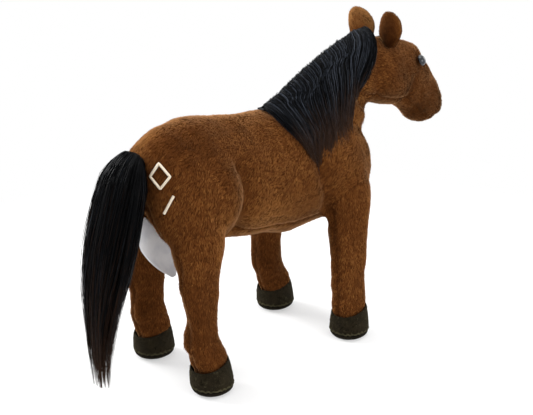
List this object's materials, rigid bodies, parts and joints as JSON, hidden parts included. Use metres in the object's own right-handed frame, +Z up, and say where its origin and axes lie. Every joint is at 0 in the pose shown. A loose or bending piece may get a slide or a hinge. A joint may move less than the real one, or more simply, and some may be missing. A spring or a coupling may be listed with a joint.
{
  "type": "plush horse",
  "caption": "Standing stuffed toy horse of brown plush with dark suede hooves, a long black hair mane and tail, sewn ears and glossy eyes.",
  "frame": {"origin": "middle of the bounding box at the floor, between the four hooves and the tail", "axes": "+Z up; the horse faces -Y, and +X is the horse's own left side"},
  "size_m": [0.1244, 0.4158, 0.282],
  "materials": {
    "bay_pile": "short brown plush pile",
    "bay_pile_dark": "short dark brown plush pile",
    "ear_pile": "short brown plush pile",
    "fibre": "loose polyester fibre",
    "hoof_suede": "dark olive grey suede cloth",
    "sole_suede": "dark olive grey suede cloth",
    "eye_plastic": "polished dark grey",
    "washer_plastic": "moulded off-white",
    "black_hair": "long glossy black synthetic hair",
    "hair_tape": "black woven tape",
    "label_satin": "white satin ribbon"
  },
  "bodies": {
    "torso": {"left_side_panel": "bay_pile", "right_side_panel": "bay_pile", "belly_gusset": "bay_pile_dark", "body_filling": "fibre", "left_neck_panel": "bay_pile", "right_neck_panel": "bay_pile", "neck_filling": "fibre", "mane_tape": "hair_tape", "mane_hair": "black_hair"},
    "head": {"left_cheek_panel": "bay_pile", "right_cheek_panel": "bay_pile", "jaw_gusset": "bay_pile_dark", "head_filling": "fibre", "left_eye": "eye_plastic", "right_eye": "eye_plastic", "left_eye_washer": "washer_plastic", "right_eye_washer": "washer_plastic"},
    "left_ear": {"left_ear_back": "ear_pile", "left_ear_lining": "ear_pile"},
    "right_ear": {"right_ear_back": "ear_pile", "right_ear_lining": "ear_pile"},
    "tail_dock": {"tail_dock": "hair_tape"},
    "tail": {"tail_hair": "black_hair"},
    "care_label": {"care_label": "label_satin"},
    "leg_left_fore": {"left_fore_leg_outer_panel": "bay_pile", "left_fore_leg_inner_panel": "bay_pile_dark", "left_fore_leg_filling": "fibre", "left_fore_hoof_cover": "hoof_suede", "left_fore_hoof_sole": "sole_suede"},
    "leg_right_fore": {"right_fore_leg_outer_panel": "bay_pile", "right_fore_leg_inner_panel": "bay_pile_dark", "right_fore_leg_filling": "fibre", "right_fore_hoof_cover": "hoof_suede", "right_fore_hoof_sole": "sole_suede"},
    "leg_left_hind": {"left_hind_leg_outer_panel": "bay_pile", "left_hind_leg_inner_panel": "bay_pile_dark", "left_hind_leg_filling": "fibre", "left_hind_hoof_cover": "hoof_suede", "left_hind_hoof_sole": "sole_suede"},
    "leg_right_hind": {"right_hind_leg_outer_panel": "bay_pile", "right_hind_leg_inner_panel": "bay_pile_dark", "right_hind_leg_filling": "fibre", "right_hind_hoof_cover": "hoof_suede", "right_hind_hoof_sole": "sole_suede"}
  },
  "joints": [
    {"name": "head_nod", "type": "hinge", "parent": "torso", "child": "head", "pos_m": [0, -0.09496, 0.23011], "axis": [1, 0, 0], "range_deg": [-10, 10], "stiffness_Nm_per_rad": 1.5},
    {"name": "left_fore_leg_swing", "type": "hinge", "parent": "torso", "child": "leg_left_fore", "pos_m": [0.038, -0.01863, 0.124], "axis": [1, 0, 0], "range_deg": [-8, 8], "stiffness_Nm_per_rad": 4},
    {"name": "right_fore_leg_swing", "type": "hinge", "parent": "torso", "child": "leg_right_fore", "pos_m": [-0.038, -0.04063, 0.124], "axis": [1, 0, 0], "range_deg": [-8, 8], "stiffness_Nm_per_rad": 4},
    {"name": "left_hind_leg_swing", "type": "hinge", "parent": "torso", "child": "leg_left_hind", "pos_m": [0.039, 0.12437, 0.118], "axis": [1, 0, 0], "range_deg": [-8, 8], "stiffness_Nm_per_rad": 4},
    {"name": "right_hind_leg_swing", "type": "hinge", "parent": "torso", "child": "leg_right_hind", "pos_m": [-0.039, 0.12987, 0.118], "axis": [1, 0, 0], "range_deg": [-8, 8], "stiffness_Nm_per_rad": 4},
    {"name": "left_ear_fold", "type": "hinge", "parent": "head", "child": "left_ear", "pos_m": [0.0155, -0.10913, 0.25431], "axis": [0.9903, 0.1392, 0], "range_deg": [-15, 15], "stiffness_Nm_per_rad": 0.02},
    {"name": "right_ear_fold", "type": "hinge", "parent": "head", "child": "right_ear", "pos_m": [-0.0155, -0.10913, 0.25414], "axis": [0.9903, -0.1392, 0], "range_deg": [-15, 15], "stiffness_Nm_per_rad": 0.02},
    {"name": "tail_lift", "type": "hinge", "parent": "torso", "child": "tail_dock", "pos_m": [0.00001, 0.15579, 0.19948], "axis": [1, 0, 0], "range_deg": [0, 60]},
    {"name": "tail_swing", "type": "hinge", "parent": "tail_dock", "child": "tail", "pos_m": [0.00001, 0.16489, 0.19308], "axis": [0, 1, 0], "range_deg": [-25, 25]},
    {"name": "care_label_flap", "type": "hinge", "parent": "torso", "child": "care_label", "pos_m": [0, 0.13285, 0.12541], "axis": [0, 0.6691, 0.7431], "range_deg": [-30, 20], "stiffness_Nm_per_rad": 0.002}
  ]
}
